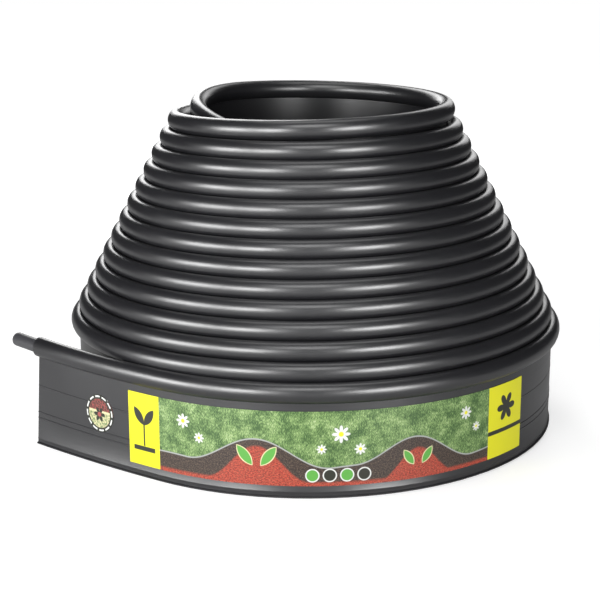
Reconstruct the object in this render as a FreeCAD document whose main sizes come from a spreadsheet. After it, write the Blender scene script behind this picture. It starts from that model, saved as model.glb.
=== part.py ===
# Plastic lawn edging, sold as a coil: one long extruded strip with an oval bead along its top,
# a thin web and a small foot, wound upwards and inwards turn on turn, with its outer end lying free.
# Millimetres, +Z up, standing on the floor at z = 0, middle of the bounding box on the Z axis.
import FreeCAD, Part
import math
import os

V = FreeCAD.Vector
UP = V(0, 0, 1)

doc = FreeCAD.newDocument("lawn_edging_coil")

# Driving dimensions
DIMENSIONS = [
    # strip section
    ("strip_height", "118"),
    ("bead_width", "17.8"),
    ("bead_height", "21"),
    ("bead_sides", "12"),
    ("web_thickness", "2.6"),
    ("web_offset", "0.2"),
    ("foot_reach", "1.6"),
    ("foot_height", "2.2"),
    ("foot_slope", "0.5"),
    # coil
    ("coil_radius", "272"),
    ("turn_count", "13.9"),
    ("turn_clearance", "0.32"),
    ("stations_per_turn", "16"),
    # inner end, drawn in from the last turn, lifted over its bead and then sinking inside it
    ("draw_in", "15.5"),
    ("draw_in_turns", "0.5"),
    ("inner_end_turns", "0.15"),
    ("lift", "5.5"),
    ("lift_turns", "1"),
    ("sink", "27"),
    ("sink_turns", "0.3"),
    # outer end, lying free of the coil, its bead leaning back at the end
    ("tail_angle", "34"),
    ("tail_length", "184"),
    ("tail_bend_radius", "1500"),
    ("tail_lean", "8"),
    ("tail_stations", "4"),
    # connector in the outer end, and the bores in the bead
    ("connector_diameter", "15"),
    ("connector_length", "68"),
    ("connector_reach", "42"),
    ("connector_chamfer", "1.2"),
    ("connector_shoulder", "1"),
    ("connector_relief", "0.25"),
    ("connector_clearance", "0.05"),
    ("socket_clearance", "2"),
    ("inner_bore_depth", "12"),
    # wrap label and sticker, just clear of the web's face
    ("film_clearance", "0.02"),
    ("label_thickness", "0.4"),
    ("label_base", "12.5"),
    ("label_top_clearance", "8"),
    ("label_on_tail", "41.5"),
    ("label_end_angle", "53"),
    # round sticker on the free end
    ("sticker_diameter", "40"),
    ("sticker_thickness", "0.4"),
    ("sticker_rise", "7"),
    ("sticker_label_clearance", "22.5"),
    ("sticker_trim", "2"),
]

# Sizes that follow from the driving dimensions
DERIVED = [
    ("bead_middle_height", "=strip_height - bead_height / 2"),
    ("radial_pitch", "=bead_width / 2 + web_offset + turn_clearance"),
    (
        "vertical_pitch",
        "=bead_height / 2 * sqrt(4 - pow(radial_pitch / (bead_width / 2); 2)) + turn_clearance",
    ),
    ("web_outer", "=web_offset"),
    ("web_inner", "=web_offset - web_thickness"),
    ("foot_outer", "=web_offset + foot_reach"),
    ("web_height", "=strip_height - bead_height"),
    ("film_inner", "=web_offset + film_clearance"),
    ("label_outer", "=film_inner + label_thickness"),
    ("label_height", "=web_height - label_base - label_top_clearance"),
    ("sticker_outer", "=film_inner + sticker_thickness"),
    ("sticker_middle_height", "=web_height / 2 + sticker_rise"),
    ("sticker_on_tail", "=label_on_tail + sticker_label_clearance + sticker_diameter / 2"),
    ("sticker_blank", "=sticker_diameter / 2 + sticker_trim"),
    ("bore_radius", "=connector_diameter / 2 + connector_clearance"),
    ("socket_depth", "=connector_length - connector_reach + socket_clearance"),
    ("seat_length", "=connector_length - connector_reach + connector_shoulder"),
    ("free_length", "=connector_reach - connector_shoulder"),
]

sheet = doc.addObject("Spreadsheet::Sheet", "dimensions")
for row, (alias, value) in enumerate(DIMENSIONS + DERIVED, start=1):
    sheet.set("A%d" % row, alias)
    sheet.set("B%d" % row, value)
    sheet.setAlias("B%d" % row, alias)
doc.recompute()


def size(alias):
    return float(sheet.get(alias))


# Path of the bead's middle line.
# An angle of 0 faces -Y, and a growing angle runs towards +X, up and inwards around the Z axis.
# Angles before the tail angle lie on the free end, at the same length per radian.
TAIL_ANGLE = -math.radians(size("tail_angle"))
CLIMB = size("vertical_pitch") / (2 * math.pi)
NARROWING = size("radial_pitch") / (2 * math.pi)
INNER_END = 2 * math.pi * size("turn_count")
DRAW_SPAN = 2 * math.pi * size("draw_in_turns")
DRAW_START = INNER_END - 2 * math.pi * size("inner_end_turns") - DRAW_SPAN
SINK_SPAN = 2 * math.pi * size("sink_turns")
SINK_START = INNER_END - SINK_SPAN
LIFT_SPAN = 2 * math.pi * size("lift_turns")
LIFT_START = SINK_START - LIFT_SPAN
TAIL_RATE = size("coil_radius") - NARROWING * TAIL_ANGLE
OUTER_END = TAIL_ANGLE - size("tail_length") / TAIL_RATE


def share_of(angle, start, span):
    return min(max((angle - start) / span, 0), 1)


def eased(part):
    return part * part * (3 - 2 * part)


def height_of(angle):
    # The climb starts gently where the coil leaves the floor, and is even up to the last turn.
    if angle <= TAIL_ANGLE:
        rise = 0
    elif angle < -TAIL_ANGLE:
        rise = (angle - TAIL_ANGLE) ** 2 / (-4 * TAIL_ANGLE)
    else:
        rise = angle
    lifted = size("lift") * eased(share_of(angle, LIFT_START, LIFT_SPAN))
    sunk = (size("lift") + size("sink")) * share_of(angle, SINK_START, SINK_SPAN) ** 2
    return size("bead_middle_height") + CLIMB * rise + lifted - sunk


def radius_of(angle):
    # The last turn draws inwards smoothly towards its end.
    drawn = size("draw_in") * eased(share_of(angle, DRAW_START, DRAW_SPAN))
    return size("coil_radius") - NARROWING * angle - drawn


def narrowing_of(angle):
    part = share_of(angle, DRAW_START, DRAW_SPAN)
    return -NARROWING - size("draw_in") * 6 * part * (1 - part) / DRAW_SPAN


def coil_station(angle):
    # Point on the middle line and the level direction square to it, pointing outwards.
    out = V(math.sin(angle), -math.cos(angle), 0)
    along = V(math.cos(angle), math.sin(angle), 0)
    outward = out * radius_of(angle) - along * narrowing_of(angle)
    outward.normalize()
    return out * radius_of(angle) + UP * height_of(angle), outward


def tail_station(angle):
    start, outward = coil_station(TAIL_ANGLE)
    bend = size("tail_bend_radius")
    heading = math.atan2(outward.x, -outward.y) + (angle - TAIL_ANGLE) * TAIL_RATE / bend
    turned = V(math.sin(heading), -math.cos(heading), 0)
    return start - outward * bend + turned * bend, turned


def lean_of(angle):
    # How far the bead lies inside the foot: nothing on the coil, growing towards the outer end.
    part = min(max((TAIL_ANGLE - angle) / (TAIL_ANGLE - OUTER_END), 0), 1)
    return size("tail_lean") * part * part


def station(angle):
    # Point on the middle line, the level direction square to it and the foot's place below the point
    on_tail = angle < TAIL_ANGLE
    foot_line, outward = tail_station(angle) if on_tail else coil_station(angle)
    point = foot_line - outward * lean_of(angle)
    return point, outward, foot_line - UP * size("bead_middle_height")


def upright(point, foot):
    # Step from the foot towards the middle of the bead for each millimetre of height
    return (point - foot) * (1 / size("bead_middle_height"))


def tail_angle_at(length):
    # Angle of the place that lies this length out along the free end.
    return TAIL_ANGLE - length / TAIL_RATE


# Sections, as lists of (outward, up) points around the middle of the bead
def bead_bottom(outward):
    half_width = size("bead_width") / 2
    return -size("bead_height") / 2 * math.sqrt(1 - (outward / half_width) ** 2)


def bead_angle(outward):
    # Angle around the oval bead of the point where the web's face meets it.
    half_width = size("bead_width") / 2
    half_height = size("bead_height") / 2
    return math.atan2(bead_bottom(outward) / half_height, outward / half_width)


def strip_section():
    base = -size("bead_middle_height")
    first = bead_angle(size("web_outer"))
    last = bead_angle(size("web_inner")) + 2 * math.pi
    sides = int(size("bead_sides"))
    points = []
    for side in range(sides + 1):
        turned = first + (last - first) * side / sides
        points.append((size("bead_width") / 2 * math.cos(turned), size("bead_height") / 2 * math.sin(turned)))
    points.append((size("web_inner"), base))
    points.append((size("foot_outer"), base))
    points.append((size("foot_outer"), base + size("foot_height") - size("foot_slope")))
    points.append((size("web_outer"), base + size("foot_height")))
    return points


def film_section(outer, low, high):
    # A film on the web's outer face, between two heights above the floor
    base = low - size("bead_middle_height")
    top = high - size("bead_middle_height")
    inner = size("film_inner")
    return [(inner, base), (outer, base), (outer, top), (inner, top)]


# Sweep of the section along the path
def spline(vectors, parameters, rate_in, rate_out):
    curve = Part.BSplineCurve()
    curve.interpolate(
        Points=vectors,
        Parameters=parameters,
        InitialTangent=rate_in,
        FinalTangent=rate_out,
        Scale=False,
    )
    return curve


def swept_faces(section, start, end, stations):
    # One smooth face for each side of the section, from start to end.
    step = (end - start) / stations
    angles = [start + step * number for number in range(stations + 1)]
    places = [station(angle) for angle in angles]
    parameters = [float(number) for number in range(stations + 1)]
    nudge = step / 1000
    first_place = station(start + nudge)
    last_place = station(end - nudge)
    curves = []
    for part in range(len(places[0])):
        rate_in = (first_place[part] - places[0][part]) * (step / nudge)
        rate_out = (places[-1][part] - last_place[part]) * (step / nudge)
        curves.append(spline([place[part] for place in places], parameters, rate_in, rate_out))
    middle, outward, foot_line = curves
    faces = []
    for side, first in enumerate(section):
        second = section[(side + 1) % len(section)]
        rows = []
        for across, up in (first, second):
            poles = zip(middle.getPoles(), outward.getPoles(), foot_line.getPoles())
            rows.append(
                [point + square * across + upright(point, foot) * up for point, square, foot in poles]
            )
        surface = Part.BSplineSurface()
        surface.buildFromPolesMultsKnots(
            rows,
            [2, 2],
            middle.getMultiplicities(),
            [0, 1],
            middle.getKnots(),
            False,
            False,
            1,
            middle.Degree,
        )
        faces.append(surface.toShape())
    return faces


def end_face(section, angle):
    point, square, foot = station(angle)
    corners = [point + square * across + upright(point, foot) * up for across, up in section]
    return Part.Face(Part.makePolygon(corners + corners[:1]))


def swept_solid(section, breaks, stations):
    faces = [end_face(section, breaks[0]), end_face(section, breaks[-1])]
    for start, end, count in zip(breaks, breaks[1:], stations):
        faces += swept_faces(section, start, end, count)
    shell = Part.makeShell(faces)
    shell.sewShape()
    solid = Part.makeSolid(shell)
    if solid.Volume < 0:
        solid.reverse()
    return solid


def pointing(base, direction):
    return FreeCAD.Placement(base, FreeCAD.Rotation(UP, direction))


# Edging strip: tail, then one run of faces for each turn
turns = math.ceil(size("turn_count"))
per_turn = int(size("stations_per_turn"))
tail_stations = int(size("tail_stations"))
coil_breaks = [TAIL_ANGLE + (INNER_END - TAIL_ANGLE) * turn / turns for turn in range(turns + 1)]
strip_run = doc.addObject("Part::Feature", "strip_run")
strip_run.Shape = swept_solid(
    strip_section(),
    [OUTER_END] + coil_breaks,
    [tail_stations] + [per_turn] * turns,
)

# Bores: the bead is a tube, open at both ends
NUDGE = 0.001


def end_and_direction(angle, nudge):
    # Middle of the bead at an end of the strip, and the direction in which the strip would go on.
    end = station(angle)[0]
    direction = end - station(angle - nudge)[0]
    return end, direction.normalize()


outer_end, outer_direction = end_and_direction(OUTER_END, -NUDGE)
inner_end, inner_direction = end_and_direction(INNER_END, NUDGE)

socket = doc.addObject("Part::Cylinder", "connector_socket")
socket.setExpression("Radius", "dimensions.bore_radius")
socket.setExpression("Height", "2 * dimensions.socket_depth")
socket.Placement = pointing(outer_end - outer_direction * size("socket_depth"), outer_direction)

inner_bore = doc.addObject("Part::Cylinder", "inner_bore")
inner_bore.setExpression("Radius", "dimensions.bore_radius")
inner_bore.setExpression("Height", "2 * dimensions.inner_bore_depth")
inner_bore.Placement = pointing(inner_end - inner_direction * size("inner_bore_depth"), inner_direction)

socketed_strip = doc.addObject("Part::Cut", "socketed_strip")
socketed_strip.Base = strip_run
socketed_strip.Tool = socket

edging_strip = doc.addObject("Part::Cut", "edging_strip")
edging_strip.Base = socketed_strip
edging_strip.Tool = inner_bore

# Connector: a round plastic dowel, its longer part in the bead's bore and relieved there
seat_start = outer_end - outer_direction * (size("connector_length") - size("connector_reach"))
dowel_seat = doc.addObject("Part::Cylinder", "connector_seat")
dowel_seat.setExpression("Radius", "dimensions.connector_diameter / 2 - dimensions.connector_relief")
dowel_seat.setExpression("Height", "dimensions.seat_length")
dowel_seat.Placement = pointing(seat_start, outer_direction)

dowel_free = doc.addObject("Part::Cylinder", "connector_free_end")
dowel_free.setExpression("Radius", "dimensions.connector_diameter / 2")
dowel_free.setExpression("Height", "dimensions.free_length")
dowel_free.Placement = pointing(outer_end + outer_direction * size("connector_shoulder"), outer_direction)

dowel = doc.addObject("Part::Fuse", "connector_dowel")
dowel.Base = dowel_seat
dowel.Tool = dowel_free
doc.recompute()


def rim_number(dowel_end):
    # Number of the dowel's edge around this end.
    rims = enumerate(dowel.Shape.Edges, start=1)
    return min(rims, key=lambda rim: (rim[1].CenterOfMass - dowel_end).Length)[0]


end_connector = doc.addObject("Part::Chamfer", "end_connector")
end_connector.Base = dowel
end_connector.Edges = [
    (rim_number(dowel_end), size("connector_chamfer"), size("connector_chamfer"))
    for dowel_end in (seat_start, outer_end + outer_direction * size("connector_reach"))
]

# Wrap label around the front of the lowest turn
wrap_label = doc.addObject("Part::Feature", "wrap_label")
wrap_label.Shape = swept_solid(
    film_section(size("label_outer"), size("label_base"), size("label_base") + size("label_height")),
    [tail_angle_at(size("label_on_tail")), TAIL_ANGLE, math.radians(size("label_end_angle"))],
    [tail_stations, tail_stations],
)

# Round sticker on the free end: a film punched out by a cylinder
sticker_station = station(tail_angle_at(size("sticker_on_tail")))
sticker_point, sticker_square, sticker_foot = sticker_station
sticker_film = doc.addObject("Part::Feature", "sticker_film")
sticker_film.Shape = swept_solid(
    film_section(
        size("sticker_outer"),
        size("sticker_middle_height") - size("sticker_blank"),
        size("sticker_middle_height") + size("sticker_blank"),
    ),
    [
        tail_angle_at(size("sticker_on_tail") + size("sticker_blank")),
        tail_angle_at(size("sticker_on_tail") - size("sticker_blank")),
    ],
    [tail_stations],
)

sticker_drop = size("sticker_middle_height") - size("bead_middle_height")
sticker_place = sticker_point + upright(sticker_point, sticker_foot) * sticker_drop
sticker_punch = doc.addObject("Part::Cylinder", "sticker_punch")
sticker_punch.setExpression("Radius", "dimensions.sticker_diameter / 2")
sticker_punch.setExpression("Height", "2 * dimensions.sticker_blank")
sticker_punch.Placement = pointing(
    sticker_place - sticker_square * size("sticker_blank"),
    sticker_square,
)

round_sticker = doc.addObject("Part::Common", "round_sticker")
round_sticker.Base = sticker_film
round_sticker.Tool = sticker_punch
doc.recompute()

# Middle of the bounding box to the Z axis
nodes = [edging_strip, end_connector, wrap_label, round_sticker]
box = FreeCAD.BoundBox()
for node in nodes:
    box.add(node.Shape.optimalBoundingBox(False, False))
shift = FreeCAD.Placement(V(-box.Center.x, -box.Center.y, -box.ZMin), FreeCAD.Rotation())
for node in nodes:
    node.Placement = shift.multiply(node.Placement)
    node.Label = node.Name
doc.recompute()

# Checks and export
for item in doc.Objects:
    faults = [state for state in item.State if state in ("Invalid", "Error")]
    if faults:
        raise RuntimeError("%s: %s" % (item.Name, ", ".join(faults)))
    if hasattr(item, "Shape") and (item.Shape.isNull() or not item.Shape.isValid()):
        raise RuntimeError("%s has no valid shape" % item.Name)

os.makedirs("parts", exist_ok=True)
for node in nodes:
    node.Shape.exportStep("parts/%s.step" % node.Label)
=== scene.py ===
import math

import bmesh
import bpy
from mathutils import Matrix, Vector


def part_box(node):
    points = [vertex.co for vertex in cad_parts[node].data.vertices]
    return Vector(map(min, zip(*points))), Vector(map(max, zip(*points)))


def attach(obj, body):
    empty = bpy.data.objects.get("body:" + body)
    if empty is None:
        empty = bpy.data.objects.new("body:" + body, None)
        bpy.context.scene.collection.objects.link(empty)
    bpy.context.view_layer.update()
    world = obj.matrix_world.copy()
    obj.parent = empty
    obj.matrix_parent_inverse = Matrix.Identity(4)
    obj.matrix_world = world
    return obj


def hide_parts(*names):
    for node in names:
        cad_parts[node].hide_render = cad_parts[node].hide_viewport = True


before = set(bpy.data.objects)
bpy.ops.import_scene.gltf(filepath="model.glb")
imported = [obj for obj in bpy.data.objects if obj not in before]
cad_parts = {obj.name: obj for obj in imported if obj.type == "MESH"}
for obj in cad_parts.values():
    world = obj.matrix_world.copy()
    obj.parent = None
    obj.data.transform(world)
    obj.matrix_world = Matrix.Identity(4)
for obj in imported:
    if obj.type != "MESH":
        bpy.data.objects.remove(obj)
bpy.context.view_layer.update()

UP = Vector((0, 0, 1))

# Strip section, in metres, as in the solids
STRIP_HEIGHT = 0.118
BEAD_WIDTH = 0.0178
BEAD_HEIGHT = 0.021
BEAD_MIDDLE = STRIP_HEIGHT - BEAD_HEIGHT / 2
WEB_THICKNESS = 0.0026
WEB_OUTER = 0.0002
WEB_INNER = WEB_OUTER - WEB_THICKNESS
FOOT_REACH = 0.0016
FOOT_HEIGHT = 0.0022
FOOT_SLOPE = 0.0005
FOOT_ROUND = 0.0004
BORE_RADIUS = 0.00755

# Fine relief of the web's outer face: height above the floor, width and rise of each raised line,
# and the share of its width that is flat on top
WEB_LINE_CREST = 0.4
WEB_LINES = [
    (0.0062, 0.0024, 0.0003),
    (0.0292, 0.0016, 0.00035),
    (0.0355, 0.0016, 0.00035),
    (0.0650, 0.0012, 0.00025),
]

# Coil, as in the solids
COIL_RADIUS = 0.272
TURN_COUNT = 13.9
TURN_CLEARANCE = 0.00032
RADIAL_PITCH = BEAD_WIDTH / 2 + WEB_OUTER + TURN_CLEARANCE
VERTICAL_PITCH = BEAD_HEIGHT / 2 * math.sqrt(4 - (RADIAL_PITCH / (BEAD_WIDTH / 2)) ** 2) + TURN_CLEARANCE
DRAW_IN = 0.0155
DRAW_IN_TURNS = 0.5
INNER_END_TURNS = 0.15
LIFT = 0.0055
LIFT_TURNS = 1.0
SINK = 0.027
SINK_TURNS = 0.3
TAIL_LENGTH = 0.184
TAIL_BEND_RADIUS = 1.5
TAIL_LEAN = 0.008

TAIL_ANGLE = -math.radians(34)
CLIMB = VERTICAL_PITCH / (2 * math.pi)
NARROWING = RADIAL_PITCH / (2 * math.pi)
INNER_END = 2 * math.pi * TURN_COUNT
DRAW_SPAN = 2 * math.pi * DRAW_IN_TURNS
DRAW_START = INNER_END - 2 * math.pi * INNER_END_TURNS - DRAW_SPAN
SINK_SPAN = 2 * math.pi * SINK_TURNS
SINK_START = INNER_END - SINK_SPAN
LIFT_SPAN = 2 * math.pi * LIFT_TURNS
LIFT_START = SINK_START - LIFT_SPAN
TAIL_RATE = COIL_RADIUS - NARROWING * TAIL_ANGLE
OUTER_END = TAIL_ANGLE - TAIL_LENGTH / TAIL_RATE

# Connector, label and sticker, as in the solids
CONNECTOR_RADIUS = 0.0075
CONNECTOR_LENGTH = 0.068
CONNECTOR_REACH = 0.042
CONNECTOR_ROUND = 0.0012
CONNECTOR_SHOULDER = 0.001
CONNECTOR_RELIEF = 0.00025
DIMPLE_RADIUS = 0.00225
DIMPLE_FLOOR = 0.0018
DIMPLE_DEPTH = 0.0004
FILM_INNER = WEB_OUTER + 0.00002
LABEL_THICKNESS = 0.0004
LABEL_BASE = 0.0125
LABEL_HEIGHT = 0.0765
LABEL_ON_TAIL = 0.0415
LABEL_END_ANGLE = math.radians(53)
STICKER_RADIUS = 0.020
STICKER_THICKNESS = 0.0004
STICKER_MIDDLE = 0.0555
STICKER_ON_TAIL = 0.084

# Fineness of the meshes, and the angle in degrees from which an edge is sharp
STEPS_PER_TURN = 96
BEAD_POINTS = 30
BORE_POINTS = 32
BORE_STEPS = 8
VISIBLE_BORE = 0.06
CORNER_STEPS = 5
SMALL_TURN = 0.001
CONNECTOR_POINTS = 64
LABEL_TAIL_STEPS = 8
LABEL_COIL_STEPS = 40
LABEL_LEVELS = 12
STICKER_POINTS = 96
SHARP_PLASTIC = 32
SHARP_FILM = 40


# Path of the bead's middle line, around the Z axis until it is put in its place


def share_of(angle, start, span):
    return min(max((angle - start) / span, 0), 1)


def eased(part):
    return part * part * (3 - 2 * part)


def height_of(angle):
    if angle <= TAIL_ANGLE:
        rise = 0
    elif angle < -TAIL_ANGLE:
        rise = (angle - TAIL_ANGLE) ** 2 / (-4 * TAIL_ANGLE)
    else:
        rise = angle
    lifted = LIFT * eased(share_of(angle, LIFT_START, LIFT_SPAN))
    sunk = (LIFT + SINK) * share_of(angle, SINK_START, SINK_SPAN) ** 2
    return BEAD_MIDDLE + CLIMB * rise + lifted - sunk


def coil_station(angle):
    part = share_of(angle, DRAW_START, DRAW_SPAN)
    radius = COIL_RADIUS - NARROWING * angle - DRAW_IN * eased(part)
    rate = -NARROWING - DRAW_IN * 6 * part * (1 - part) / DRAW_SPAN
    out = Vector((math.sin(angle), -math.cos(angle), 0))
    along = Vector((math.cos(angle), math.sin(angle), 0))
    outward = (out * radius - along * rate).normalized()
    return out * radius + UP * height_of(angle), outward


def tail_station(angle):
    start, outward = coil_station(TAIL_ANGLE)
    heading = math.atan2(outward.x, -outward.y) + (angle - TAIL_ANGLE) * TAIL_RATE / TAIL_BEND_RADIUS
    turned = Vector((math.sin(heading), -math.cos(heading), 0))
    return start - outward * TAIL_BEND_RADIUS + turned * TAIL_BEND_RADIUS, turned


def station(angle):
    # Point on the middle line, the level direction outwards, and the step up the web for each metre
    # of height: the free end's bead lies more and more inside its foot.
    foot_line, outward = tail_station(angle) if angle < TAIL_ANGLE else coil_station(angle)
    part = share_of(angle, TAIL_ANGLE, OUTER_END - TAIL_ANGLE)
    lean = TAIL_LEAN * part * part
    return foot_line - outward * lean, outward, UP - outward * (lean / BEAD_MIDDLE)


def tail_angle_at(length):
    return TAIL_ANGLE - length / TAIL_RATE


def spread(start, end, count):
    return [start + (end - start) * number / count for number in range(count + 1)]


# Sections, as (outward, up) points around the middle of the bead


def bead_bottom(outward):
    return -BEAD_HEIGHT / 2 * math.sqrt(1 - (outward / (BEAD_WIDTH / 2)) ** 2)


def bead_angle(outward):
    return math.atan2(bead_bottom(outward) / (BEAD_HEIGHT / 2), outward / (BEAD_WIDTH / 2))


def bead_arc():
    turned = spread(bead_angle(WEB_OUTER), bead_angle(WEB_INNER) + 2 * math.pi, BEAD_POINTS)
    return [(BEAD_WIDTH / 2 * math.cos(t), BEAD_HEIGHT / 2 * math.sin(t)) for t in turned]


def strip_section():
    base = -BEAD_MIDDLE
    foot_outer = WEB_OUTER + FOOT_REACH
    points = bead_arc()
    points.append((WEB_INNER, base))
    points.append((foot_outer - FOOT_ROUND, base))
    points.append((foot_outer, base + FOOT_ROUND))
    points.append((foot_outer, base + FOOT_HEIGHT - FOOT_SLOPE - FOOT_ROUND))
    points.append((foot_outer - FOOT_ROUND, base + FOOT_HEIGHT - FOOT_SLOPE))
    points.append((WEB_OUTER, base + FOOT_HEIGHT))
    for height, width, rise in WEB_LINES:
        middle = base + height
        crest = width * WEB_LINE_CREST
        points.append((WEB_OUTER, middle - width / 2))
        points.append((WEB_OUTER + rise, middle - crest / 2))
        points.append((WEB_OUTER + rise, middle + crest / 2))
        points.append((WEB_OUTER, middle + width / 2))
    return points


# Meshes


def swept_ring(bm, section, angle):
    centre, outward, upright = station(angle)
    return [bm.verts.new(centre + outward * across + upright * up) for across, up in section]


def bore_ring(bm, circle, angle):
    centre, outward, upright = station(angle)
    return [bm.verts.new(centre + outward * across + UP * up) for across, up in circle]


def join_rings(bm, rings, uv, along, around):
    # Quads between neighbouring rings, with the length along in u and the way around in v, in metres.
    count = len(rings[0])
    for number in range(len(rings) - 1):
        for side in range(count):
            after = (side + 1) % count
            corners = [
                (rings[number][side], along[number], around[side]),
                (rings[number][after], along[number], around[side + 1]),
                (rings[number + 1][after], along[number + 1], around[side + 1]),
                (rings[number + 1][side], along[number + 1], around[side]),
            ]
            face = bm.faces.new([corner[0] for corner in corners])
            face.smooth = True
            for loop, corner in zip(face.loops, corners):
                loop[uv].uv = (corner[1], corner[2])


def running_lengths(points, closed=False):
    lengths = [0.0]
    chain = list(points) + ([points[0]] if closed else [])
    for first, second in zip(chain, chain[1:]):
        lengths.append(lengths[-1] + (Vector(second) - Vector(first)).length)
    return lengths


def capped_end(bm, outer, bore):
    loops = []
    for ring in (outer, bore):
        for first, second in zip(ring, ring[1:] + ring[:1]):
            loops.append(bm.edges.get((first, second)) or bm.edges.new((first, second)))
    bmesh.ops.triangle_fill(bm, edges=loops, use_beauty=True)


def finished(bm, name, sharp_degrees):
    bmesh.ops.recalc_face_normals(bm, faces=bm.faces)
    mesh = bpy.data.meshes.new(name)
    bm.to_mesh(mesh)
    bm.free()
    mesh.set_sharp_from_angle(angle=math.radians(sharp_degrees))
    obj = bpy.data.objects.new(name, mesh)
    bpy.context.scene.collection.objects.link(obj)
    return obj


def steps_over(start, end):
    return spread(start, end, round(STEPS_PER_TURN * (end - start) / (2 * math.pi)))


def make_strip():
    bm = bmesh.new()
    uv = bm.loops.layers.uv.new("strip")
    section = strip_section()
    angles = steps_over(OUTER_END, TAIL_ANGLE)[:-1] + steps_over(TAIL_ANGLE, INNER_END)
    rings = [swept_ring(bm, section, angle) for angle in angles]
    along = running_lengths([station(angle)[0] for angle in angles])
    around = running_lengths([(across, up, 0) for across, up in section], closed=True)
    join_rings(bm, rings, uv, along, around)
    circle = [
        (BORE_RADIUS * math.cos(turn), BORE_RADIUS * math.sin(turn))
        for turn in spread(0, 2 * math.pi, BORE_POINTS)[:-1]
    ]
    bore_around = running_lengths([(across, up, 0) for across, up in circle], closed=True)
    ends = (
        (OUTER_END, VISIBLE_BORE / TAIL_RATE, rings[0]),
        (INNER_END, -VISIBLE_BORE / coil_station(INNER_END)[0].to_2d().length, rings[-1]),
    )
    for start, span, outer in ends:
        stops = spread(start, start + span, BORE_STEPS)
        bore = [bore_ring(bm, circle, stop) for stop in stops]
        join_rings(bm, bore, uv, running_lengths([station(stop)[0] for stop in stops]), bore_around)
        capped_end(bm, outer, bore[0])
        bm.faces.new(bore[-1])
    return finished(bm, "edging_strip_wound", SHARP_PLASTIC)


def lathe(name, outline, base, direction, points, sharp_degrees):
    # Outline of (radius, along) points from the axis back to the axis, turned round it.
    bm = bmesh.new()
    uv = bm.loops.layers.uv.new("turned")
    side = Vector((1, 0, 0)) if direction == UP else direction.cross(UP).normalized()
    other = direction.cross(side)
    rings = []
    for radius, along in outline[1:-1]:
        ring = []
        for number in range(points):
            turn = 2 * math.pi * number / points
            spoke = side * math.cos(turn) + other * math.sin(turn)
            ring.append(bm.verts.new(base + direction * along + spoke * radius))
        rings.append(ring)
    lengths = running_lengths([(radius, along, 0) for radius, along in outline[1:-1]])
    widest = max(radius for radius, along in outline)
    join_rings(bm, rings, uv, lengths, [widest * turn for turn in spread(0, 2 * math.pi, points)])
    for ring, (radius, along) in ((rings[0], outline[0]), (rings[-1], outline[-1])):
        tip = bm.verts.new(base + direction * along)
        for first, second in zip(ring, ring[1:] + ring[:1]):
            face = bm.faces.new((first, second, tip))
            face.smooth = True
            for loop in face.loops:
                place = loop.vert.co - base
                loop[uv].uv = (place.dot(side), place.dot(other))
    return finished(bm, name, sharp_degrees)


def make_connector():
    end = station(OUTER_END)[0]
    direction = (end - station(OUTER_END + SMALL_TURN)[0]).normalized()
    hidden = CONNECTOR_LENGTH - CONNECTOR_REACH
    seat_radius = CONNECTOR_RADIUS - CONNECTOR_RELIEF
    seat_end = hidden + CONNECTOR_SHOULDER
    outline = [(0, 0)]
    for turn in spread(0, math.pi / 2, CORNER_STEPS):
        along = CONNECTOR_ROUND * (1 - math.cos(turn))
        outline.append((seat_radius - CONNECTOR_ROUND * (1 - math.sin(turn)), along))
    outline += [(seat_radius, seat_end), (CONNECTOR_RADIUS, seat_end)]
    for turn in spread(0, math.pi / 2, CORNER_STEPS):
        along = CONNECTOR_LENGTH - CONNECTOR_ROUND * (1 - math.sin(turn))
        outline.append((CONNECTOR_RADIUS - CONNECTOR_ROUND * (1 - math.cos(turn)), along))
    outline.append((DIMPLE_RADIUS, CONNECTOR_LENGTH))
    outline.append((DIMPLE_FLOOR, CONNECTOR_LENGTH - DIMPLE_DEPTH))
    outline.append((0, CONNECTOR_LENGTH - DIMPLE_DEPTH))
    base = end - direction * hidden
    return lathe("connector_dowel", outline, base, direction, CONNECTOR_POINTS, SHARP_PLASTIC)


def make_label():
    # A thin film over the web's outer face, with u and v from 0 to 1 over its printed side.
    bm = bmesh.new()
    uv = bm.loops.layers.uv.new("print")
    start = tail_angle_at(LABEL_ON_TAIL)
    angles = spread(start, TAIL_ANGLE, LABEL_TAIL_STEPS)[:-1]
    angles += spread(TAIL_ANGLE, LABEL_END_ANGLE, LABEL_COIL_STEPS)
    low = LABEL_BASE - BEAD_MIDDLE
    levels = spread(low, low + LABEL_HEIGHT, LABEL_LEVELS)
    section = [(FILM_INNER + LABEL_THICKNESS, level) for level in levels]
    section += [(FILM_INNER, level) for level in reversed(levels)]
    rings = [swept_ring(bm, section, angle) for angle in angles]
    lengths = running_lengths([station(angle)[0] for angle in angles])
    along = [length / lengths[-1] for length in lengths]
    share = [(up - low) / LABEL_HEIGHT for across, up in section]
    join_rings(bm, rings, uv, along, share + share[:1])
    for ring, edge in ((rings[0], along[0]), (rings[-1], along[-1])):
        face = bm.faces.new(ring)
        for loop, level in zip(face.loops, share):
            loop[uv].uv = (edge, level)
    return finished(bm, "wrap_label_film", SHARP_FILM)


def make_sticker():
    # A flat disc laid on the web's face, its x running back towards the coil and its y upwards
    edge = STICKER_THICKNESS / 3
    outline = [
        (0, 0),
        (STICKER_RADIUS, 0),
        (STICKER_RADIUS, STICKER_THICKNESS - edge),
        (STICKER_RADIUS - edge, STICKER_THICKNESS),
        (0, STICKER_THICKNESS),
    ]
    film = lathe("round_sticker_film", outline, Vector((0, 0, 0)), UP, STICKER_POINTS, SHARP_FILM)
    for vertex in film.data.vertices:
        across, up, out = vertex.co
        point, outward, upright = station(tail_angle_at(STICKER_ON_TAIL - across))
        above = up + STICKER_MIDDLE - BEAD_MIDDLE
        vertex.co = point + outward * (FILM_INNER + out) + upright * above
    return film


# Material nodes


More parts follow.
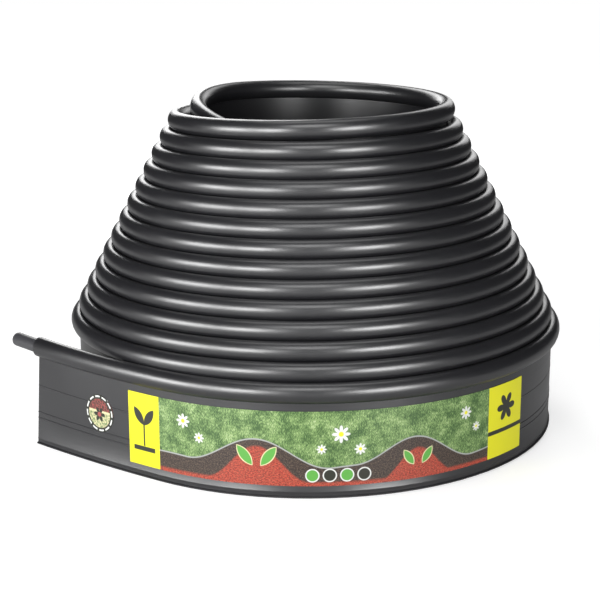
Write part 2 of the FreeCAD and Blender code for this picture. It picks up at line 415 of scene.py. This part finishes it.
def feed(tree, slot, value):
    if isinstance(value, bpy.types.NodeSocket):
        tree.links.new(value, slot)
    elif slot.type == "RGBA" and len(value) == 3:
        slot.default_value = (*value, 1)
    else:
        slot.default_value = value


def calc(tree, operation, *values, clamp=False):
    node = tree.nodes.new("ShaderNodeMath")
    node.operation = operation
    node.use_clamp = clamp
    for slot, value in zip(node.inputs, values):
        feed(tree, slot, value)
    return node.outputs[0]


def mixed(tree, factor, first, second):
    node = tree.nodes.new("ShaderNodeMix")
    node.data_type = "RGBA"
    feed(tree, node.inputs[0], factor)
    feed(tree, node.inputs[6], first)
    feed(tree, node.inputs[7], second)
    return node.outputs[2]


def noise(tree, vector, scale, detail=2.0, roughness=0.5):
    node = tree.nodes.new("ShaderNodeTexNoise")
    feed(tree, node.inputs["Vector"], vector)
    feed(tree, node.inputs["Scale"], scale)
    feed(tree, node.inputs["Detail"], detail)
    feed(tree, node.inputs["Roughness"], roughness)
    return node.outputs[0]


def remapped(tree, value, low, high, new_low=0.0, new_high=1.0):
    node = tree.nodes.new("ShaderNodeMapRange")
    for slot, number in zip(node.inputs, (value, low, high, new_low, new_high)):
        feed(tree, slot, number)
    return node.outputs[0]


def combined(tree, x, y, z=0.0):
    node = tree.nodes.new("ShaderNodeCombineXYZ")
    for slot, number in zip(node.inputs, (x, y, z)):
        feed(tree, slot, number)
    return node.outputs[0]


def stretched(tree, x, y, along, up):
    return combined(tree, calc(tree, "MULTIPLY", x, along), calc(tree, "MULTIPLY", y, up))


def surface_lengths(tree, layer):
    node = tree.nodes.new("ShaderNodeUVMap")
    node.uv_map = layer
    parts = tree.nodes.new("ShaderNodeSeparateXYZ")
    tree.links.new(node.outputs[0], parts.inputs[0])
    return parts.outputs[0], parts.outputs[1]


def bumped(tree, height, distance, strength=1.0):
    node = tree.nodes.new("ShaderNodeBump")
    feed(tree, node.inputs["Strength"], strength)
    feed(tree, node.inputs["Distance"], distance)
    feed(tree, node.inputs["Height"], height)
    return node.outputs[0]


def new_material(name):
    material = bpy.data.materials.new(name)
    material.use_nodes = True
    tree = material.node_tree
    return material, tree, tree.nodes["Principled BSDF"]


# Black plastic: shades, roughness and how far both vary, the scales of its noise per metre, and the
# depth of its relief in metres
PLASTIC_INDEX = 1.75
STRIP_SHADE = (0.009, 0.009, 0.0105)
STRIP_ROUGHNESS = 0.33
CONNECTOR_SHADE = (0.03, 0.03, 0.034)
CONNECTOR_ROUGHNESS = 0.42
SMOOTHER = 0.04
ROUGHER = 0.05
DARKER = 0.8
LIGHTER = 1.25
LINES_ALONG = 2.0
LINES_ACROSS = 900.0
HAZE_SCALE = 14.0
SPECK_SCALE = 420.0
SPECK_SHARE = 0.35
RELIEF_DEPTH = 0.00004
RELIEF_STRENGTH = 0.5


def black_plastic(name, layer, shade, roughness):
    # Extruded polyethylene: fine lines along the length, a faint waviness and a little handling haze.
    material, tree, shader = new_material(name)
    along, around = surface_lengths(tree, layer)
    lines = noise(tree, stretched(tree, along, around, LINES_ALONG, LINES_ACROSS), scale=1.0, detail=3.0)
    place = tree.nodes.new("ShaderNodeTexCoord").outputs["Object"]
    haze = noise(tree, place, HAZE_SCALE, detail=4.0, roughness=0.6)
    specks = noise(tree, place, SPECK_SCALE)
    uneven = calc(tree, "ADD", calc(tree, "MULTIPLY", haze, 0.6), calc(tree, "MULTIPLY", lines, 0.4))
    spread_roughness = remapped(tree, uneven, 0.3, 0.7, roughness - SMOOTHER, roughness + ROUGHER)
    feed(tree, shader.inputs["Roughness"], spread_roughness)
    dark = tuple(part * DARKER for part in shade)
    light = tuple(part * LIGHTER for part in shade)
    feed(tree, shader.inputs["Base Color"], mixed(tree, haze, dark, light))
    feed(tree, shader.inputs["IOR"], PLASTIC_INDEX)
    relief = calc(tree, "ADD", lines, calc(tree, "MULTIPLY", specks, SPECK_SHARE))
    feed(tree, shader.inputs["Normal"], bumped(tree, relief, RELIEF_DEPTH, RELIEF_STRENGTH))
    return material


# Shapes of the print: each is 1 inside and 0 outside


def inside(tree, distance, softness):
    # 1 where the distance is negative, 0 where it is positive, with an edge as wide as the softness.
    return calc(tree, "MULTIPLY_ADD", distance, -1.0 / softness, 0.5, clamp=True)


def distance_to(tree, x, y, middle):
    across = calc(tree, "SUBTRACT", x, middle[0])
    up = calc(tree, "SUBTRACT", y, middle[1])
    squares = calc(tree, "ADD", calc(tree, "MULTIPLY", across, across), calc(tree, "MULTIPLY", up, up))
    return calc(tree, "SQRT", squares), across, up


def disc(tree, x, y, middle, radius, softness):
    length = distance_to(tree, x, y, middle)[0]
    return inside(tree, calc(tree, "SUBTRACT", length, radius), softness)


def flower(tree, x, y, middle, radius, petals, softness):
    length, across, up = distance_to(tree, x, y, middle)
    turn = calc(tree, "ARCTAN2", up, across)
    lobes = calc(tree, "ABSOLUTE", calc(tree, "COSINE", calc(tree, "MULTIPLY", turn, petals / 2)))
    reach = calc(tree, "MULTIPLY_ADD", lobes, radius * 0.6, radius * 0.4)
    return inside(tree, calc(tree, "SUBTRACT", length, reach), softness)


def bar(tree, x, y, middle, size, softness):
    across = calc(tree, "ABSOLUTE", calc(tree, "SUBTRACT", x, middle[0]))
    up = calc(tree, "ABSOLUTE", calc(tree, "SUBTRACT", y, middle[1]))
    beyond = calc(
        tree,
        "MAXIMUM",
        calc(tree, "SUBTRACT", across, size[0] / 2),
        calc(tree, "SUBTRACT", up, size[1] / 2),
    )
    return inside(tree, beyond, softness)


def leaf(tree, x, y, middle, length, width, tilt, softness):
    # The overlap of two discs, with its long side tilted by this angle.
    radius = (length * length + width * width) / (4 * width)
    offset = radius - width / 2
    sides = []
    for sign in (-1, 1):
        centre = (middle[0] - sign * offset * math.sin(tilt), middle[1] + sign * offset * math.cos(tilt))
        sides.append(calc(tree, "SUBTRACT", distance_to(tree, x, y, centre)[0], radius))
    return inside(tree, calc(tree, "MAXIMUM", *sides), softness)


def mound(tree, x, middle, width, height):
    # Height of a smooth rise over the base line, 0 beyond its width.
    part = calc(tree, "ABSOLUTE", calc(tree, "DIVIDE", calc(tree, "SUBTRACT", x, middle), width / 2))
    part = calc(tree, "MINIMUM", part, 1.0)
    wave = calc(tree, "COSINE", calc(tree, "MULTIPLY", part, math.pi))
    return calc(tree, "MULTIPLY_ADD", wave, height / 2, height / 2)


# Colours of the print, and how much of the light they give back


def screen(red, green, blue):
    return tuple(((part / 255 + 0.055) / 1.055) ** 2.4 for part in (red, green, blue))


PRINT_LEVEL = 0.6
YELLOW = screen(247, 243, 30)
CREAM = screen(236, 226, 178)
WHITE = screen(238, 240, 236)
INK = screen(46, 48, 38)
GRASS_DARK = screen(62, 96, 48)
GRASS_LIGHT = screen(150, 184, 112)
GRASS_TIP = screen(206, 219, 172)
SOIL_DARK = screen(44, 35, 32)
SOIL_LIGHT = screen(92, 76, 66)
SOIL_SPECK = screen(150, 132, 112)
BARK_DARK = screen(120, 32, 24)
BARK_LIGHT = screen(214, 88, 66)
EDGE_LINE = screen(176, 178, 176)
LEAF_GREEN = screen(98, 176, 74)
CLAY = screen(176, 88, 84)
MOSS = screen(112, 140, 90)


# Layout of the label's picture, in millimetres from its lower left corner
MM = 1000.0
PICTURE_LENGTH = (LABEL_ON_TAIL + (LABEL_END_ANGLE - TAIL_ANGLE) * COIL_RADIUS) * MM
PICTURE_HEIGHT = LABEL_HEIGHT * MM
SOFT_EDGE = 0.5
CRISP_EDGE = 0.4
GRASS_EDGE = 0.6
BARK_EDGE = 2.5

# Level, swell and waves of the ground line, half the width of the pale line along it, and the
# middle, width and height of each rise
GROUND_LEVEL = 17.0
GROUND_SWELL = 4.0
GROUND_WAVE = 0.03
GROUND_LINE = 0.7
RISES = (
    (148.0, 150.0, 34.0),
    (310.0, 130.0, 26.0),
)

# Middle, width, height and lowest level of each bed of bark
BARK_BEDS = (
    (148.0, 104.0, 36.0, 4.0),
    (310.0, 86.0, 31.0, 1.0),
)

# Middle and radius of each flower
PETALS = 8
FLOWER_HEART = 0.28
FLOWERS = (
    ((70.0, 57.0), 7.5),
    ((88.0, 42.0), 5.5),
    ((231.0, 53.0), 9.0),
    ((250.0, 37.0), 6.0),
    ((212.0, 38.0), 5.0),
    ((366.0, 58.0), 7.0),
    ((380.0, 41.0), 5.0),
)

# Middle, length, width and tilt of each leaf, and the rim around it
LEAF_RIM = 1.0
LEAVES = (
    ((136.0, 30.0), 24.0, 9.0, math.radians(128)),
    ((160.0, 30.0), 24.0, 9.0, math.radians(52)),
    ((300.0, 23.0), 18.0, 7.0, math.radians(124)),
    ((320.0, 23.0), 18.0, 7.0, math.radians(56)),
)

# Row of round marks
DOT_COUNT = 4
DOT_START = (203.0, 11.0)
DOT_STEP = 17.0
DOT_RADIUS = 7.0
DOT_INNER_RADIUS = 5.8

# Yellow panels at the ends
LEFT_PANEL = 40.5
RIGHT_PANEL = 56.5
RIGHT_PANEL_MIDDLE = PICTURE_LENGTH - RIGHT_PANEL / 2

FILM_ROUGHNESS = 0.38
WRINKLE_SCALE = 0.03
WRINKLE_DEPTH = 0.0006
WRINKLE_STRENGTH = 0.35

# Layout of the sticker, in millimetres from its middle
STICKER_ROUGHNESS = 0.35
FIELD_RADIUS = 15.5
FIELD_PARTING = 1.5
BAND_MIDDLE = (0.0, 2.0)
BAND_SIZE = (32.0, 2.4)
BLOOM_MIDDLE = (0.0, -1.0)
BLOOM_RADIUS = 8.0
BLOOM_PETALS = 6
BLOOM_HEART = 2.6
RING_RADIUS = 18.2
RING_HALF_WIDTH = 0.9
RING_EDGE = 0.3
RING_DASHES = 12.0
RING_GAP_LEVEL = -0.6


def dimmed(tree, colour, level):
    node = tree.nodes.new("ShaderNodeMix")
    node.data_type = "RGBA"
    node.blend_type = "MULTIPLY"
    feed(tree, node.inputs[0], 1.0)
    feed(tree, node.inputs[6], colour)
    feed(tree, node.inputs[7], (level, level, level))
    return node.outputs[2]


def grass_print(tree, x, y):
    # Blades that lean both ways, with pale tips and softer light and dark patches.
    leaning = []
    for stretch, lean in ((1.25, 0.45), (1.05, -0.40)):
        across = calc(tree, "ADD", calc(tree, "MULTIPLY", x, stretch), calc(tree, "MULTIPLY", y, lean))
        place = combined(tree, across, calc(tree, "MULTIPLY", y, 0.32))
        leaning.append(noise(tree, place, scale=1.0, roughness=0.6))
    blades = calc(tree, "MAXIMUM", *leaning)
    patches = noise(tree, combined(tree, x, y), scale=0.07, detail=3.0)
    uneven = calc(tree, "ADD", blades, calc(tree, "MULTIPLY", calc(tree, "SUBTRACT", patches, 0.5), 0.5))
    grass = mixed(tree, remapped(tree, uneven, 0.46, 0.66), GRASS_DARK, GRASS_LIGHT)
    return mixed(tree, remapped(tree, uneven, 0.64, 0.76, 0.0, 0.8), grass, GRASS_TIP)


def soil_print(tree, x, y):
    flat = combined(tree, x, y)
    crumbs = noise(tree, flat, scale=0.55, detail=4.0, roughness=0.7)
    soil = mixed(tree, remapped(tree, crumbs, 0.42, 0.62), SOIL_DARK, SOIL_LIGHT)
    specks = noise(tree, flat, scale=1.1, roughness=0.6)
    return mixed(tree, remapped(tree, specks, 0.60, 0.68, 0.0, 0.9), soil, SOIL_SPECK)


def bark_print(tree, x, y):
    chips = noise(tree, stretched(tree, x, y, 1.0, 1.6), scale=0.5, detail=3.0, roughness=0.7)
    bark = mixed(tree, remapped(tree, chips, 0.40, 0.62), BARK_DARK, BARK_LIGHT)
    splinters = noise(tree, stretched(tree, x, y, 1.0, 2.2), scale=1.3, roughness=0.6)
    return mixed(tree, remapped(tree, splinters, 0.60, 0.70, 0.0, 0.6), bark, CREAM)


def garden_ground(tree, x, y):
    # Grass over soil, parted by a wavy line with a rise over each bed of bark
    wave = calc(tree, "SINE", calc(tree, "MULTIPLY", x, GROUND_WAVE))
    ground = calc(tree, "MULTIPLY_ADD", wave, GROUND_SWELL, GROUND_LEVEL)
    for middle, width, height in RISES:
        ground = calc(tree, "ADD", ground, mound(tree, x, middle, width, height))
    above = calc(tree, "SUBTRACT", y, ground)
    picture = mixed(tree, inside(tree, above, GRASS_EDGE), grass_print(tree, x, y), soil_print(tree, x, y))
    bark = bark_print(tree, x, y)
    for middle, width, height, lowest in BARK_BEDS:
        crest = calc(tree, "ADD", mound(tree, x, middle, width, height), lowest)
        bed = inside(tree, calc(tree, "SUBTRACT", y, crest), BARK_EDGE)
        picture = mixed(tree, bed, picture, bark)
    line = calc(tree, "SUBTRACT", calc(tree, "ABSOLUTE", above), GROUND_LINE)
    return mixed(tree, inside(tree, line, SOFT_EDGE), picture, EDGE_LINE)


def with_flowers(tree, x, y, picture):
    for middle, radius in FLOWERS:
        picture = mixed(tree, flower(tree, x, y, middle, radius, PETALS, SOFT_EDGE), picture, WHITE)
        heart = disc(tree, x, y, middle, radius * FLOWER_HEART, SOFT_EDGE)
        picture = mixed(tree, heart, picture, YELLOW)
    return picture


def with_leaves(tree, x, y, picture):
    for middle, length, width, tilt in LEAVES:
        for rim, colour in ((LEAF_RIM, CREAM), (0.0, LEAF_GREEN)):
            shape = leaf(tree, x, y, middle, length + 2 * rim, width + 2 * rim, tilt, SOFT_EDGE)
            picture = mixed(tree, shape, picture, colour)
    return picture


def with_dots(tree, x, y, picture):
    for step in range(DOT_COUNT):
        middle = (DOT_START[0] + DOT_STEP * step, DOT_START[1])
        inner = LEAF_GREEN if step % 2 == 0 else INK
        picture = mixed(tree, disc(tree, x, y, middle, DOT_RADIUS, SOFT_EDGE), picture, WHITE)
        picture = mixed(tree, disc(tree, x, y, middle, DOT_INNER_RADIUS, SOFT_EDGE), picture, inner)
    return picture


def with_panels(tree, x, y, picture):
    # A sprout in a bed on the left panel, a flower over a bar on the right one
    left = inside(tree, calc(tree, "SUBTRACT", x, LEFT_PANEL), CRISP_EDGE)
    right = inside(tree, calc(tree, "SUBTRACT", PICTURE_LENGTH - RIGHT_PANEL, x), CRISP_EDGE)
    picture = mixed(tree, calc(tree, "MAXIMUM", left, right), picture, YELLOW)
    marks = (
        leaf(tree, x, y, (14.0, 52.0), 22.0, 9.0, math.radians(125), CRISP_EDGE),
        leaf(tree, x, y, (27.0, 52.0), 22.0, 9.0, math.radians(55), CRISP_EDGE),
        bar(tree, x, y, (20.5, 34.0), (2.0, 26.0), CRISP_EDGE),
        bar(tree, x, y, (20.5, 18.0), (28.0, 5.0), CRISP_EDGE),
        flower(tree, x, y, (RIGHT_PANEL_MIDDLE, 51.0), 15.0, 6, CRISP_EDGE),
        bar(tree, x, y, (RIGHT_PANEL_MIDDLE, 27.0), (RIGHT_PANEL, 4.5), CRISP_EDGE),
    )
    for mark in marks:
        picture = mixed(tree, mark, picture, INK)
    return picture


def label_print():
    # A plain garden scene, with a yellow panel at each end, on a slightly wrinkled film.
    material, tree, shader = new_material("label_print")
    u, v = surface_lengths(tree, "print")
    x = calc(tree, "MULTIPLY", u, PICTURE_LENGTH)
    y = calc(tree, "MULTIPLY", v, PICTURE_HEIGHT)
    picture = garden_ground(tree, x, y)
    for added in (with_flowers, with_leaves, with_dots, with_panels):
        picture = added(tree, x, y, picture)
    feed(tree, shader.inputs["Base Color"], dimmed(tree, picture, PRINT_LEVEL))
    feed(tree, shader.inputs["Roughness"], FILM_ROUGHNESS)
    wrinkles = noise(tree, combined(tree, x, y), WRINKLE_SCALE)
    feed(tree, shader.inputs["Normal"], bumped(tree, wrinkles, WRINKLE_DEPTH, WRINKLE_STRENGTH))
    return material


def sticker_field(tree, x, y, up):
    # A clay half over a green one, parted by a pale band, with a small flower on top
    grain = remapped(tree, noise(tree, combined(tree, x, y), scale=0.45, detail=3.0), 0.38, 0.62)
    clay = mixed(tree, grain, INK, CLAY)
    green = mixed(tree, grain, MOSS, CREAM)
    upper = inside(tree, calc(tree, "SUBTRACT", FIELD_PARTING, up), CRISP_EDGE)
    field = mixed(tree, upper, green, clay)
    field = mixed(tree, bar(tree, x, y, BAND_MIDDLE, BAND_SIZE, CRISP_EDGE), field, CREAM)
    bloom = flower(tree, x, y, BLOOM_MIDDLE, BLOOM_RADIUS, BLOOM_PETALS, CRISP_EDGE)
    field = mixed(tree, bloom, field, INK)
    return mixed(tree, disc(tree, x, y, BLOOM_MIDDLE, BLOOM_HEART, CRISP_EDGE), field, CLAY)


def sticker_print():
    # A dark round with a broken pale ring around its picture.
    material, tree, shader = new_material("sticker_print")
    x, y = surface_lengths(tree, "turned")
    x = calc(tree, "MULTIPLY", x, MM)
    y = calc(tree, "MULTIPLY", y, MM)
    length, across, up = distance_to(tree, x, y, (0.0, 0.0))
    beyond = calc(tree, "SUBTRACT", length, FIELD_RADIUS)
    picture = mixed(tree, inside(tree, beyond, CRISP_EDGE), INK, sticker_field(tree, x, y, up))
    off_ring = calc(tree, "ABSOLUTE", calc(tree, "SUBTRACT", length, RING_RADIUS))
    ring = inside(tree, calc(tree, "SUBTRACT", off_ring, RING_HALF_WIDTH), RING_EDGE)
    turn = calc(tree, "MULTIPLY", calc(tree, "ARCTAN2", up, across), RING_DASHES)
    dashes = calc(tree, "GREATER_THAN", calc(tree, "SINE", turn), RING_GAP_LEVEL)
    picture = mixed(tree, calc(tree, "MULTIPLY", ring, dashes), picture, WHITE)
    feed(tree, shader.inputs["Base Color"], dimmed(tree, picture, PRINT_LEVEL))
    feed(tree, shader.inputs["Roughness"], STICKER_ROUGHNESS)
    return material


# The object, put where the solids are


def put_in_place(objects):
    # The coil is made around its own axis, and the frame's origin is the middle of the solids' box.
    corners = [corner.co for corner in objects[0].data.vertices]
    cad_low, cad_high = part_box("edging_strip")
    shift = Vector((0, 0, 0))
    for axis in (0, 1):
        made = (min(corner[axis] for corner in corners) + max(corner[axis] for corner in corners)) / 2
        shift[axis] = (cad_low[axis] + cad_high[axis]) / 2 - made
    for obj in objects:
        for vertex in obj.data.vertices:
            vertex.co += shift
    return shift


def dressed(obj, node, material):
    obj.data.materials.append(material)
    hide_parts(node)
    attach(obj, "root")


strip = make_strip()
connector = make_connector()
label = make_label()
sticker = make_sticker()
axis_place = put_in_place([strip, connector, label, sticker])
strip_plastic = black_plastic("strip_plastic", "strip", STRIP_SHADE, STRIP_ROUGHNESS)
connector_plastic = black_plastic("connector_plastic", "turned", CONNECTOR_SHADE, CONNECTOR_ROUGHNESS)
dressed(strip, "edging_strip", strip_plastic)
dressed(connector, "end_connector", connector_plastic)
dressed(label, "wrap_label", label_print())
dressed(sticker, "round_sticker", sticker_print())

# Floor and background: for the camera the floor is lifted towards white, by FLOOR_LIFT at the coil
# and in full from FLOOR_FAR on
FLOOR_HALF = 12
FLOOR_ROUGHNESS = 0.7
FLOOR_COLOUR = (0.5, 0.5, 0.5)
FLOOR_LIFT = 0.6
FLOOR_NEAR = 0.7
FLOOR_FAR = 1.6
WORLD_LIGHT = 0.02


def make_floor():
    bm = bmesh.new()
    bmesh.ops.create_grid(bm, x_segments=1, y_segments=1, size=FLOOR_HALF)
    floor = finished(bm, "floor", SHARP_PLASTIC)
    material, tree, shader = new_material("floor_paper")
    feed(tree, shader.inputs["Base Color"], FLOOR_COLOUR)
    feed(tree, shader.inputs["Roughness"], FLOOR_ROUGHNESS)
    path = tree.nodes.new("ShaderNodeLightPath")
    place = tree.nodes.new("ShaderNodeTexCoord").outputs["Object"]
    reach = tree.nodes.new("ShaderNodeVectorMath")
    reach.operation = "LENGTH"
    tree.links.new(place, reach.inputs[0])
    lift = remapped(tree, reach.outputs["Value"], FLOOR_NEAR, FLOOR_FAR, FLOOR_LIFT, 1.0)
    glow = tree.nodes.new("ShaderNodeEmission")
    feed(tree, glow.inputs["Strength"], calc(tree, "MULTIPLY", path.outputs["Is Camera Ray"], lift))
    both = tree.nodes.new("ShaderNodeAddShader")
    tree.links.new(shader.outputs[0], both.inputs[0])
    tree.links.new(glow.outputs[0], both.inputs[1])
    tree.links.new(both.outputs[0], tree.nodes["Material Output"].inputs["Surface"])
    floor.data.materials.append(material)


def make_world():
    world = bpy.data.worlds.new("studio")
    bpy.context.scene.world = world
    world.use_nodes = True
    tree = world.node_tree
    back = tree.nodes["Background"]
    path = tree.nodes.new("ShaderNodeLightPath")
    feed(tree, back.inputs["Color"], (1, 1, 1))
    strength = remapped(tree, path.outputs["Is Camera Ray"], 0.0, 1.0, WORLD_LIGHT, 1.0)
    feed(tree, back.inputs["Strength"], strength)


# Soft boxes: name, azimuth and elevation in degrees, width and height in metres, and power in watts.
# Azimuth 0 is the front, 90 the right. Each is aimed at one point on the coil's axis.
LAMP_DISTANCE = 2.3
LAMP_AIM_HEIGHT = 0.2
LAMPS = (
    ("left_low", -30, 6, (0.75, 0.75), 34),
    ("right_low", 30, 6, (0.9, 0.75), 37),
    ("left_side", -61, 6, (1.15, 0.75), 42),
    ("front_high", -3, 42, (1.2, 0.9), 16),
    ("overhead", 0, 89, (1.8, 0.9), 11),
    ("back_left", -165, 32, (0.8, 1.9), 24),
    ("back_right", 160, 26, (0.7, 1.5), 8),
)


def soft_box(name, azimuth, elevation, size, power):
    lamp = bpy.data.lights.new(name, "AREA")
    lamp.shape = "RECTANGLE"
    lamp.size, lamp.size_y = size
    lamp.energy = power
    obj = bpy.data.objects.new(name, lamp)
    bpy.context.scene.collection.objects.link(obj)
    turn, lift = math.radians(azimuth), math.radians(elevation)
    away = Vector((math.sin(turn) * math.cos(lift), -math.cos(turn) * math.cos(lift), math.sin(lift)))
    obj.location = axis_place + UP * LAMP_AIM_HEIGHT + away * LAMP_DISTANCE
    obj.rotation_euler = away.to_track_quat("Z", "Y").to_euler()


make_floor()
make_world()
for lamp_facts in LAMPS:
    soft_box(*lamp_facts)

# Camera, at the place fitted to the photograph: from the coil's axis, in metres, its tilt down in
# radians, and its focal length and middle in the photograph's pixels
CAMERA_SIDE = 0.0050
CAMERA_BACK = 1.5392
CAMERA_UP = 0.5219
CAMERA_DOWN = 0.2485
SENSOR_WIDTH = 36
PICTURE_SIDE = 600
FOCAL_PIXELS = 1386.5
MIDDLE_PIXEL = 317.87


def make_camera():
    optics = bpy.data.cameras.new("camera")
    optics.sensor_width = SENSOR_WIDTH
    optics.lens = SENSOR_WIDTH * FOCAL_PIXELS / PICTURE_SIDE
    optics.shift_x = -(MIDDLE_PIXEL - PICTURE_SIDE / 2) / PICTURE_SIDE
    camera = bpy.data.objects.new("camera", optics)
    bpy.context.scene.collection.objects.link(camera)
    camera.location = axis_place + Vector((CAMERA_SIDE, -CAMERA_BACK, CAMERA_UP))
    camera.rotation_euler = (math.pi / 2 - CAMERA_DOWN, 0, 0)
    bpy.context.scene.camera = camera


make_camera()

bpy.context.scene.view_settings.view_transform = "Standard"
